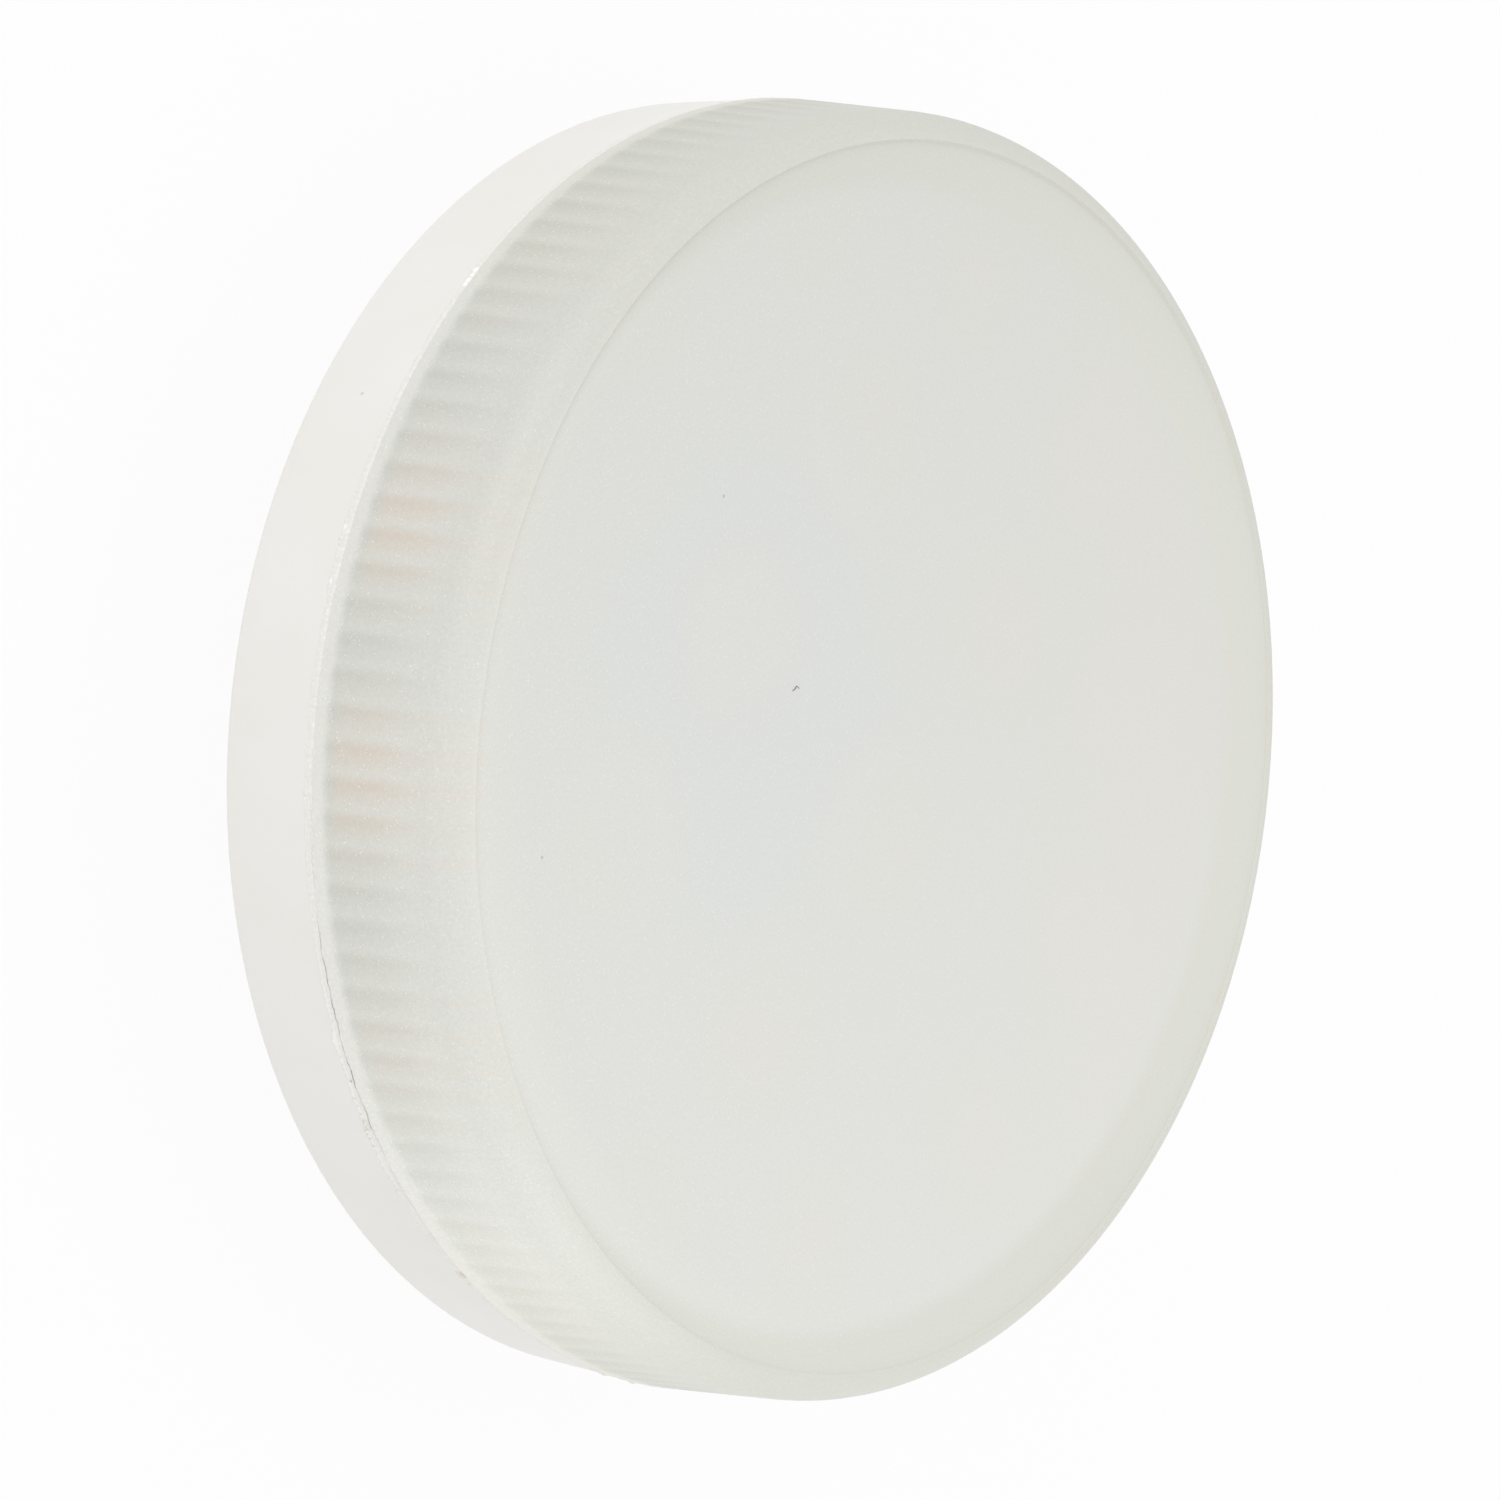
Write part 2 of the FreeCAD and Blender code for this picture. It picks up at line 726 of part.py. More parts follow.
def make_mains_lead(side):
    """Insulated wire from a pin's tag, over the boss's mouth and down to the driver board."""
    level = floor_z + tag_thickness + lead_radius
    start_x = side * (pin_x - tag_tail_length * 0.6)
    bend_x = side * (pin_x - tag_tail_length - lead_bend * 1.2)
    points = [
        Vector(start_x, 0, level),
        Vector(bend_x, 0, level),
        Vector(side * mains_lead_x, mains_lead_y, level),
        Vector(side * mains_lead_x, mains_lead_y, parts_z),
    ]
    return tube_along(points, lead_radius, lead_bend)


def make_led_lead(y):
    """Insulated wire from the driver board, up through the plates and over to its pad."""
    level = led_z + led_lead_lift + lead_radius
    points = [
        Vector(led_lead_x, y, parts_z),
        Vector(led_lead_x, y, level),
        Vector(led_pad_x + solder_radius / 2.0, y, level),
    ]
    return tube_along(points, lead_radius, lead_bend)


def make_solder_joints():
    """Domes of solder that hold the two wires' ends on the LED board."""
    joints = []
    for y in (led_lead_plus_y, led_lead_minus_y):
        dome = revolved([
            (0, led_z),
            (solder_radius, led_z),
            (solder_radius * 0.8, led_z + solder_height * 0.6),
            (solder_radius * 0.35, led_z + solder_height),
            (0, led_z + solder_height),
        ])
        dome.translate(Vector(led_pad_x, y, 0))
        joints += dome.cut(make_led_lead(y)).Solids
    return Part.makeCompound(joints)


def build_parts():
    """Every node of the lamp by name."""
    places = led_places()
    nodes = {
        "housing": make_housing(),
        "diffuser": make_diffuser(),
        "seam_bead": make_seam_bead(),
        "heat_spreader": drilled_plate(spreader_radius, spreader_thickness, spreader_z),
        "led_board": drilled_plate(board_radius, board_thickness, board_z),
        "led_phosphor": Part.makeCompound([make_phosphor(radius, angle) for radius, angle in places]),
        "board_screws": Part.makeCompound([make_board_screw(angle) for angle in screw_angles]),
        "contact_pin_a": make_contact_pin(1),
        "contact_pin_b": make_contact_pin(-1),
        "pin_tag_a": make_pin_tag(1),
        "pin_tag_b": make_pin_tag(-1),
        "driver_board": make_driver_board(),
        "bulk_capacitor": make_bulk_capacitor(),
        "output_capacitor": make_output_capacitor(),
        "inductor_core": make_inductor_core(),
        "inductor_winding": make_inductor_winding(),
        "fusible_resistor": make_fusible_resistor(),
        "bridge_rectifier": make_bridge_rectifier(),
        "driver_chip": make_driver_chip(),
        "freewheel_diode": make_freewheel_diode(),
        "film_capacitor": make_film_capacitor(),
        "varistor": make_varistor(),
        "chip_resistors": make_chip_resistors(),
        "mains_lead_a": make_mains_lead(1),
        "mains_lead_b": make_mains_lead(-1),
        "led_lead_plus": make_led_lead(led_lead_plus_y),
        "led_lead_minus": make_led_lead(led_lead_minus_y),
        "solder_joints": make_solder_joints(),
    }
    for index, (radius, angle) in enumerate(places):
        nodes["led_%02d" % (index + 1)] = make_led(radius, angle)
    return nodes


os.makedirs("parts", exist_ok=True)
for name, shape in build_parts().items():
    shape.exportStep("parts/%s.step" % name)
    print(name, len(shape.Solids), "solids", round(shape.Volume, 2), "mm3", shape.isValid())
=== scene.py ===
import math

import bpy
import numpy as np
from mathutils import Matrix, Vector


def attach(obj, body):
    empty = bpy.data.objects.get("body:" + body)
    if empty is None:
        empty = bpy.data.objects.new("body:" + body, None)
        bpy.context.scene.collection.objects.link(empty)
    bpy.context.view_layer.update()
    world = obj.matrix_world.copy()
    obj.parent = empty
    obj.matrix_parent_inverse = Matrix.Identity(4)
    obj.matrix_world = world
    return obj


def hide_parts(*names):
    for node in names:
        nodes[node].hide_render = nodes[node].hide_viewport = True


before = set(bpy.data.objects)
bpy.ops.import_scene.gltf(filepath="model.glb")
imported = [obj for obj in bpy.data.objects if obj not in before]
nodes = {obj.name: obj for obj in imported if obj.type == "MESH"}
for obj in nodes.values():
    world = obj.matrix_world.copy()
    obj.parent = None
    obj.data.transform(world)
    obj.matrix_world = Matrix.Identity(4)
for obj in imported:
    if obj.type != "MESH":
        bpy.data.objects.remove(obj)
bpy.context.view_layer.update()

scene = bpy.context.scene
scene.view_settings.view_transform = "Standard"
print("lamp loaded:", len(nodes), "solids")

# sizes shared with the solids, in millimetres
lamp = {
    "seamRadius": 37.5,
    "seamLevel": 16.35,
    "faceLevel": 26.2,
    "outerLeds": (28.8, 5.0, 12),               # radius, first angle, count
    "innerLeds": [(16.8, 20), (16.8, 80), (16.8, 200), (16.8, 260), (8.5, 140), (8.5, 320)],
}


# a ramp from its stops, place and grey level, eased from each to the next
def fillRamp(ramp, stops):
    ramp.interpolation = "EASE"
    for _ in stops[2:]:
        ramp.elements.new(0.5)
    for element, (place, level) in zip(ramp.elements, stops):
        element.position = place
        element.color = (level, level, level, 1.0)


class Wire:
    # one socket of a material's nodes: the usual signs on it add the Math node for that sum
    def __init__(self, tree, socket=None):
        self.tree = tree
        self.socket = socket

    # any other node: its settings first, then the values or links of its sockets
    def node(self, kind, settings=None, inputs=None, output=0):
        made = self.tree.nodes.new(kind)
        for name, value in (settings or {}).items():
            if name == "stops":
                fillRamp(made.color_ramp, value)
            else:
                setattr(made, name, value)
        for key, value in (inputs or {}).items():
            if isinstance(value, Wire):
                self.tree.links.new(value.socket, made.inputs[key])
            else:
                made.inputs[key].default_value = value
        if isinstance(output, tuple):
            return [Wire(self.tree, made.outputs[each]) for each in output]
        return Wire(self.tree, made.outputs[output])

    def maths(self, operation, *values):
        return self.node("ShaderNodeMath", {"operation": operation}, dict(enumerate(values)))

    def __add__(self, other):
        return self.maths("ADD", self, other)

    def __radd__(self, other):
        return self.maths("ADD", other, self)

    def __sub__(self, other):
        return self.maths("SUBTRACT", self, other)

    def __rsub__(self, other):
        return self.maths("SUBTRACT", other, self)

    def __mul__(self, other):
        return self.maths("MULTIPLY", self, other)

    def __rmul__(self, other):
        return self.maths("MULTIPLY", other, self)

    def __truediv__(self, other):
        return self.maths("DIVIDE", self, other)

    def __rtruediv__(self, other):
        return self.maths("DIVIDE", other, self)

    def __pow__(self, other):
        return self.maths("POWER", self, other)

    def __rpow__(self, other):
        return self.maths("POWER", other, self)


# a colour as the screen shows it, 0 to 255, made linear: above the dark end, (value + 0.055) / 1.055 to the power 2.4
def tone(red, green, blue):
    return tuple(((value / 255 + 0.055) / 1.055) ** 2.4 for value in (red, green, blue)) + (1.0,)


def parts(at):
    return at.node("ShaderNodeSeparateXYZ", inputs={0: at}, output=(0, 1, 2))


# an S curve from 0 at low to 1 at high
def rise(value, low, high):
    limits = {"Value": value, "From Min": low, "From Max": high}
    return value.node("ShaderNodeMapRange", {"interpolation_type": "SMOOTHSTEP"}, limits)


def blend(amount, first, second):
    return amount.node("ShaderNodeMix", {"data_type": "RGBA"}, {0: amount, 6: first, 7: second}, output=2)


# a colour multiplied by a tint, by the amount
def tinted(amount, colour, tint):
    settings = {"data_type": "RGBA", "blend_type": "MULTIPLY"}
    return amount.node("ShaderNodeMix", settings, {0: amount, 6: colour, 7: tint}, output=2)


# a colour made lighter or darker by a factor
def shade(colour, factor):
    return factor.node("ShaderNodeVectorMath", {"operation": "SCALE"}, {0: colour, "Scale": factor})


def moved(at, by):
    return at.node("ShaderNodeVectorMath", {"operation": "ADD"}, {0: at, 1: by})


def stretched(at, by):
    return at.node("ShaderNodeVectorMath", {"operation": "MULTIPLY"}, {0: at, 1: by})


# noise with so many cells to the millimetre, from -0.5 to 0.5
def grain(at, cells, detail=2.0, rough=0.5):
    inputs = {"Vector": at, "Scale": cells, "Detail": detail, "Roughness": rough}
    return at.node("ShaderNodeTexNoise", inputs=inputs, output="Fac") - 0.5


# scattered dots: cells whose random number is over the share, within a reach of the cell's point
def dots(at, cells, share, reach):
    near, colour = at.node("ShaderNodeTexVoronoi", inputs={"Vector": at, "Scale": cells}, output=("Distance", "Color"))
    luck = parts(colour)[0]
    return (1 - rise(near, reach * 0.5, reach)) * rise(luck, share, share + 0.02)


# 1 at a point, falling to 0 at the reach
def spotAt(at, point, reach):
    far = at.node("ShaderNodeVectorMath", {"operation": "DISTANCE"}, {0: at, 1: point}, output="Value")
    return 1 - rise(far, reach * 0.35, reach)


# distance in millimetres from an upright line through (x, y), the lamp's axis unless it says another
def fromLine(x, y, middle=(0.0, 0.0)):
    aside = x - middle[0]
    along = y - middle[1]
    return (aside * aside + along * along) ** 0.5


# 1 towards an angle in degrees, falling to 0 a quarter turn away, the faster the tighter
def lobe(angle, centre, tightness):
    towards = angle.maths("COSINE", angle - math.radians(centre))
    return angle.maths("MAXIMUM", towards, 0.0) ** tightness


# the height in metres stands for a value of 1
def bump(value, height):
    return value.node("ShaderNodeBump", inputs={"Height": value, "Distance": height}, output="Normal")


# one material: fixed values on the shader's sockets, and a pattern that gives the sockets that vary
def makeFinish(name, fixed, pattern):
    made = bpy.data.materials.new(name)
    made.use_nodes = True
    tree = made.node_tree
    shader = tree.nodes["Principled BSDF"]
    for key, value in fixed.items():
        shader.inputs[key].default_value = value
    where = Wire(tree).node("ShaderNodeTexCoord", output="Object")
    at = stretched(where, (1000.0, 1000.0, 1000.0))         # millimetres
    for key, wire in pattern(at).items():
        tree.links.new(wire.socket, shader.inputs[key])
    return made


def dress(finish, *names):
    for name in names:
        for place in nodes[name].material_slots:
            place.material = finish


# a pair is the two ends of an S curve, in millimetres from the seam along the wall unless it says another measure
frost = {
    "flange": tone(227.5, 227, 221),            # plain band over the seam
    "flangeEnds": (0.75, 1.6),
    "ribFoot": tone(210, 211, 204),             # behind the ribs, just over the flange
    "footEnds": (1.2, 8.4),
    "shoulder": tone(216, 217, 211),
    "shoulderEnds": (10.0, 14.0),
    "rim": tone(220, 221, 215),
    "rimEnds": (13.0, 19.0),
    "face": tone(220.8, 221.7, 216.6),
    "faceRight": tone(222.6, 221.8, 216.6),
    "faceTurns": (4.0, 22.0),                   # across the face, to its right side
    "wallStarts": (34.6, 36.9),                 # radius
    "cool": tone(219.6, 221.2, 218.9),          # bare board seen through the face
    "coolSpot": (-14.0, 5.0, 26.2),
    "coolReach": 21.0,
    "coolLevel": 0.75,
    "coolClouds": 1.6,                          # how much clouds change that level
    "cloudCells": 0.07,

    "ribCount": 123,                            # 120 ribs, drawn closer by the wall they are seen through
    "ribPhase": 6.0,
    "ribDepth": 0.038,
    "ribLean": 0.3,                             # makes each rib's one flank steeper than the other
    "ribWander": 0.0025,                        # radians
    "ribStarts": (0.8, 1.3),
    "ribFades": (10.0, 2.4),
    "ribLost": 0.45,                            # share of them lost where light leaves through the wall

    "warm": tone(220, 205, 190),                # LEDs seen through the ribs
    "warmShow": 0.39,
    "warmBars": 0.19,                           # less of it on lighter bars, more on darker ones
    "wallGlows": [(5, 0.5), (35, 0.5), (65, 0.4), (97, 0.1), (135, 0.25), (161.5, 1.0), (181.5, 1.05),
                  (205, 0.5), (230, 0.2), (266, 0.1), (302, 0.4), (334, 0.5)],     # angle, strength
    "glowStarts": (1.1, 2.6),
    "glowFades": (4.6, 8.4),
    "glowFaded": 0.62,                          # share lost there
    "glowRim": (33.4, 35.4),                    # radius
    "glowLight": 0.03,
    "blob": tone(227, 221, 214),                # LEDs seen through the face
    "blobShow": 0.22,
    "blobShift": (-8.3, 1.6),                   # how far the view shifts them
    "blobReach": 7.0,
    "blobEnds": (34.0, 31.0),                   # radius

    "flatEdge": (182.0, 32.4, 2.6, 1.1),        # inner face's edge as the view shifts it: side, radius, two parts
    "flatEnds": (-0.9, 0.7),                    # millimetres past that edge
    "grazed": (1.0, 1.0, 0.975, 1.0),           # tint of wall and rim where they are seen at a slant
    "grazedFrom": (38.0, 56.0),                 # degrees from the edge's side
    "rimLoss": 0.05,                            # light lost beyond the edge
    "rimClear": 40.0,                           # side where none is lost
    "faceSlope": 0.0012,                        # light lost for each millimetre up the face
    "lean": 0.075,                              # light gained on one side of the wall and lost on the other
    "leanSide": 275.0,
    "wallLoss": 0.01,

    # light from one side: the first two by the way from the seam, the others by the radius
    "leaving": {                                # out through the wall
        "side": 228.0, "tightness": 16.0, "lift": 0.19,
        "level": 0.55, "steps": [(0.9, 1.3, 0.65), (1.3, 2.6, -0.2), (6.5, 10.0, -0.25)],
    },
    "skin": {                                   # on flange and shoulder, not on the ribs
        "side": 198.0, "tightness": 9.0, "lift": 0.035,
        "level": 0.75, "steps": [(0.9, 1.3, -0.75), (4.0, 7.5, 1.0), (8.6, 10.6, -0.7)],
    },
    "rimGlow": {"side": 212.0, "tightness": 3.0, "lift": 0.03, "level": 0.0, "steps": [(30.5, 34.0, 1.0)]},
    "stepGlow": {                               # beside the step round the face
        "side": 158.0, "tightness": 2.0, "lift": 0.026,
        "level": 0.0, "steps": [(33.4, 34.6, 1.0), (35.1, 35.5, -1.0)],
    },
    "lipShade": {                               # on the step, where it doesn't catch the light
        "side": 355.0, "tightness": 0.5, "lift": -0.035,
        "level": 0.0, "steps": [(34.92, 35.02, 1.0), (35.2, 35.3, -1.0)],
    },

    "grainCells": 5.0,
    "grainLight": 0.09,
    "glints": (6.0, 0.8, 0.42),                 # cells to the millimetre, share left out, reach in a cell
    "sparkle": 0.16,
    "specks": [(-29.7, -5.0, 26.2), (-17.0, 14.5, 26.2)],
    "speckReach": 0.12,
    "speckShow": 0.35,
    "relief": 0.000022,
}


# a ramp round the lamp with a peak of its own height at each angle, and nothing halfway between two
def peaksRound(angle, peaks):
    start = (peaks[-1][0] - 360 + peaks[0][0]) / 2
    stops = [(0.0, 0.0)]
    for (here, height), (there, _) in zip(peaks, peaks[1:] + [(peaks[0][0] + 360, 0.0)]):
        stops += [((here - start) / 360, height), (((here + there) / 2 - start) / 360, 0.0)]
    turn = angle.maths("FRACT", (angle - math.radians(start)) / (2 * math.pi))
    return angle.node("ShaderNodeValToRGB", {"stops": stops}, {"Fac": turn}, output="Color")


# light from one side: its lobe times a level that changes by an amount from the one to the other end of each step
def sidelight(angle, along, settings):
    level = settings["level"]
    for low, high, amount in settings["steps"]:
        level = level + rise(along, low, high) * amount
    return lobe(angle, settings["side"], settings["tightness"]) * level * settings["lift"]


# tones from the seam to the middle of the face, warmer to the right and cooler about one place
def frostTones(at, x, run):
    colour = blend(rise(run, *frost["flangeEnds"]), frost["flange"], frost["ribFoot"])
    colour = blend(rise(run, *frost["footEnds"]), colour, frost["shoulder"])
    colour = blend(rise(run, *frost["shoulderEnds"]), colour, frost["rim"])
    face = blend(rise(x, *frost["faceTurns"]), frost["face"], frost["faceRight"])
    colour = blend(rise(run, *frost["rimEnds"]), colour, face)
    clouds = grain(moved(at, (3.0, -4.0, 0.0)), frost["cloudCells"], 1.0)
    level = frost["coolLevel"] + clouds * frost["coolClouds"]
    return blend(spotAt(at, frost["coolSpot"], frost["coolReach"]) * level, colour, frost["cool"])


# ribs as bars: a cosine of the angle with a little of its double
def ribBars(at, angle):
    wander = grain(stretched(at, (0.35, 0.35, 0.12)), 1.0) * frost["ribWander"]
    turn = (angle + wander) * frost["ribCount"] + math.radians(frost["ribPhase"])
    return at.maths("COSINE", turn) + at.maths("SINE", turn * 2.0) * frost["ribLean"]


# LEDs glimpsed through the face: the outer ring by its repeat round a shifted middle, the others one by one
def faceHaze(at, x, y):
    ringRadius, firstAngle, count = lamp["outerLeds"]
    shiftX, shiftY = frost["blobShift"]
    outward = at.maths("ABSOLUTE", fromLine(x, y, frost["blobShift"]) - ringRadius)
    angle = at.maths("ARCTAN2", y - shiftY, x - shiftX)
    beat = at.maths("COSINE", (angle - math.radians(firstAngle)) * float(count))
    haze = rise(beat, -0.5, 1.0) * rise(outward, frost["blobReach"], 0.5)
    for ledRadius, ledAngle in lamp["innerLeds"]:
        ledX = ledRadius * math.cos(math.radians(ledAngle)) + shiftX
        ledY = ledRadius * math.sin(math.radians(ledAngle)) + shiftY
        haze = haze + spotAt(at, (ledX, ledY, lamp["faceLevel"]), frost["blobReach"])
    return haze


def frostPattern(at):
    x, y, z = parts(at)
    radius = fromLine(x, y)
    angle = at.maths("ARCTAN2", y, x)
    run = (z - lamp["seamLevel"]) + (lamp["seamRadius"] - radius)      # way from the seam along the wall
    onWall = rise(radius, *frost["wallStarts"])
    onFace = 1 - onWall
    colour = frostTones(at, x, run)

    # ribs start over the flange, are gone at the shoulder and are fainter where light leaves
    bars = ribBars(at, angle)
    leaving = frost["leaving"]
    clear = 1 - lobe(angle, leaving["side"], leaving["tightness"]) * frost["ribLost"]
    ribs = rise(run, *frost["ribStarts"]) * rise(run, *frost["ribFades"]) * clear

    # LEDs glimpsed through the wall, the darker bars taking the most of their colour, and through the face
    glow = peaksRound(angle, frost["wallGlows"]) * rise(run, *frost["glowStarts"])
    glow = glow * (1 - rise(run, *frost["glowFades"]) * frost["glowFaded"]) * rise(radius, *frost["glowRim"])
    colour = blend(glow * (frost["warmShow"] - bars * frost["warmBars"]), colour, frost["warm"])
    haze = faceHaze(at, x, y) * rise(radius, *frost["blobEnds"])
    colour = blend(haze * frost["blobShow"], colour, frost["blob"])

    # wall and rim turn yellower away from the side that is met square on; the flat's edge is a sum of the
    # cosine of the angle from that side and its square
    edgeSide, edgeRadius, edgeFirst, edgeSecond = frost["flatEdge"]
    squareOn = at.maths("COSINE", angle - math.radians(edgeSide))
    past = radius - edgeRadius - squareOn * (edgeFirst + squareOn * edgeSecond)
    beyond = rise(past, *frost["flatEnds"]) * onFace
    near, far = (math.cos(math.radians(each)) for each in frost["grazedFrom"])
    colour = tinted(beyond + onWall * rise(squareOn, near, far), colour, frost["grazed"])

    # light passed on: by the ribs and the LEDs' glow, by the wall's lit sides, up the face and beyond the inner flat
    light = 1 + bars * ribs * frost["ribDepth"] + glow * frost["glowLight"]
    passed = at.maths("COSINE", angle - math.radians(frost["leanSide"])) * frost["lean"] - frost["wallLoss"]
    passed = passed + sidelight(angle, run, leaving) + sidelight(angle, run, frost["skin"])
    light = light * (1 + onWall * passed)
    nearRim = sidelight(angle, radius, frost["rimGlow"]) + sidelight(angle, radius, frost["stepGlow"])
    light = light * (1 - onFace * y * frost["faceSlope"]) * (1 + nearRim * onFace)
    light = light * (1 - beyond * (1 - lobe(angle, frost["rimClear"], 1.0)) * frost["rimLoss"])
    light = light * (1 + sidelight(angle, radius, frost["lipShade"]))

    # frosted grain and tiny glints, fading to the right of the face
    fine = grain(at, frost["grainCells"], 2.0, 0.7)
    leftward = rise(x, 34.0, -34.0)
    glints = dots(at, *frost["glints"]) * (0.2 + leftward * 0.5 + ribs)
    light = light * (1 + fine * (leftward * 1.2 + onWall) * frost["grainLight"] + glints * frost["sparkle"])
    for point in frost["specks"]:
        light = light * (1 - spotAt(at, point, frost["speckReach"]) * frost["speckShow"])
    return {
        "Base Color": shade(colour, light),
        "Roughness": 0.50 + fine * 0.16 - onWall * 0.04,
        "Normal": bump(fine * 0.8 + glints * 0.5, frost["relief"]),
    }


frostFinish = makeFinish("frostedDiffuser", {"Specular IOR Level": 0.35, "IOR": 1.49}, frostPattern)
dress(frostFinish, "diffuser")
print("diffuser dressed")

shell = {
    "white": tone(238, 237, 233),
    "cream": tone(233, 231, 224),
    "creamShow": 0.55,
    "cloudCells": 0.08,
    "streak": (0.5, 0.5, 0.06),                 # faint streaks along the mould's draw
    "dust": tone(196, 192, 184),
    "dustDots": (0.22, 0.90, 0.035),            # cells to the millimetre, share left out, reach in a cell
    "speck": (-32.2, 18.8, 13.4),
    "speckReach": 0.16,
    "rubbedRadii": (20.6, 20.75),               # boss's rim, rubbed by lampholders
    "rubbedLevels": (1.4, 0.2),
    "relief": 0.0000025,
}


def shellPattern(at):
    x, y, z = parts(at)
    clouds = grain(at, shell["cloudCells"], 3.0) + 0.5
    streaks = grain(stretched(at, shell["streak"]), 1.0, 2.0)
    colour = blend(rise(clouds, 0.35, 0.75) * shell["creamShow"], shell["white"], shell["cream"])
    fine = grain(at, 6.0, 3.0, 0.6)
    colour = blend(dots(at, *shell["dustDots"]) * 0.6, colour, shell["dust"])
    colour = blend(spotAt(at, shell["speck"], shell["speckReach"]) * 0.8, colour, shell["dust"])
    rubbed = rise(fromLine(x, y), *shell["rubbedRadii"]) * rise(z, *shell["rubbedLevels"])
    return {
        "Base Color": shade(colour, 1 + streaks * 0.012 + fine * 0.004 - rubbed * 0.02),
        "Roughness": 0.38 + fine * 0.12 + clouds * 0.06 - rubbed * 0.1,
        "Normal": bump(fine + grain(at, 0.9, 1.0) * 0.8, shell["relief"]),
    }


shellFinish = makeFinish("mouldedWhite", {"Specular IOR Level": 0.4, "IOR": 1.5}, shellPattern)
dress(shellFinish, "housing")
print("housing dressed")

bead = {
    "around": 3200,                             # points of the mesh
    "section": 20,
    "radius": 37.3,                             # middle of the section, inside the notch
    "level": 16.33,
    "halfHeight": 0.27,                         # enough to fill the notch between both edges
    "reach": 0.21,
    "leastReach": 0.15,
    "mostReach": 0.298,                         # keeps it within the widest circle of the solids
    "softWaves": (20, 160, 24, 3),              # fewest and most round the ring, how many, seed
    "sharpWaves": (260, 900, 40, 7),
    "reachRag": (0.012, 0.012),                 # millimetres by the soft and by the sharp waves
    "heightRag": (0.06, 0.08),                  # shares
    "sagRag": (0.25, 0.3),
    "lumps": [(136.4, 0.5, 0.05), (137.8, 0.4, 0.05), (166.0, 0.3, 0.06), (212.8, 0.3, 0.06),
              (230.7, 0.7, 0.08), (252.1, 0.5, 0.09), (255.9, 0.35, 0.09)],     # angle, half width, height
    "sag": 0.2,                                 # how much further it spreads over the housing
    "spread": [(211.0, 16.0, 1.4), (181.0, 9.0, 0.55), (163.0, 6.0, 0.7)],      # angle, half width, share of that
    "spreadReach": 0.045,

    "cream": tone(232.5, 231, 226.5),
    "bright": tone(241.5, 240.5, 236),
    "flakes": (2.2, 0.6, 0.35),                 # cells to the millimetre, share left out, reach in a cell
    "foot": tone(247.5, 246.5, 240.5),          # painted light on its lower part, lifting the shade under it, the most where the joint gapes
    "footLevels": (16.3, 16.1),
    "footLightShow": 0.45,
    "gapeFootLight": 0.45,
    "gape": (205.0, 2.0, 13.0, 27.0),           # where the joint gapes: side, degrees from it to full, faint, none
    "faint": 0.3,                               # strength of the painted gap shade there
    # painted shade: the dark line in the open joint's gap
    "gapShade": tone(172, 169, 161),
    "gapShadeLevel": 16.47,
    "gapShadeWidth": 0.04,
    "gapShadeWaver": 0.16,
    "gapShadeLeast": 0.45,                         # of its strength where it is broken
    "chip": tone(253, 253, 251),
    "chips": [(136.4, 16.4, 0.27), (137.0, 16.42, 0.2), (137.6, 16.4, 0.27), (138.1, 16.38, 0.2),
              (161.8, 16.15, 0.2), (166.4, 16.1, 0.26)],                        # angle, level, reach
    "dark": tone(120, 112, 100),
    "dots": [(166.1, 16.25, 0.07), (208.5, 16.25, 0.12), (210.2, 16.1, 0.1), (212.9, 16.2, 0.12),
             (230.9, 16.2, 0.16)],
    "stain": tone(212, 198, 178),
    "stains": [(212.8, 16.15, 0.45), (230.8, 16.2, 0.7), (232.1, 16.15, 0.45)],
    "relief": 0.00003,
}


# noise round the ring: a sum of cosines of whole-number waves with random starts, so it closes on itself
def ringNoise(turn, fewest, most, count, seed):
    chance = np.random.default_rng(seed)
    waves = chance.integers(fewest, most, count)[:, None]
    starts = chance.uniform(0, 2 * math.pi, count)[:, None]
    return np.cos(waves * turn[None, :] + starts).sum(axis=0) / math.sqrt(count)


# bell curves round the ring, added up: height * exp(-(degrees from the centre / half width) squared)
def bells(degrees, places):
    return sum(height * np.exp(-(((degrees - centre + 180) % 360 - 180) / halfWidth) ** 2)
               for centre, halfWidth, height in places)


# a grid of points becomes a mesh: columns wrap round, and rows too unless they are left open
def wrapMesh(name, points, closedRows=True):
    rows, columns = points.shape[:2]
    last = rows if closedRows else rows - 1
    row = np.arange(last)[:, None]
    column = np.arange(columns)[None, :]
    nextRow = (row + 1) % rows
    nextColumn = (column + 1) % columns
    quads = np.stack([row * columns + column, nextRow * columns + column,
                      nextRow * columns + nextColumn, row * columns + nextColumn], axis=-1).reshape(-1, 4)
    mesh = bpy.data.meshes.new(name)
    mesh.from_pydata(points.reshape(-1, 3) * 0.001, [], quads)
    mesh.polygons.foreach_set("use_smooth", np.ones(len(quads), dtype=bool))
    mesh.update()
    piece = bpy.data.objects.new(name, mesh)
    scene.collection.objects.link(piece)
    return piece


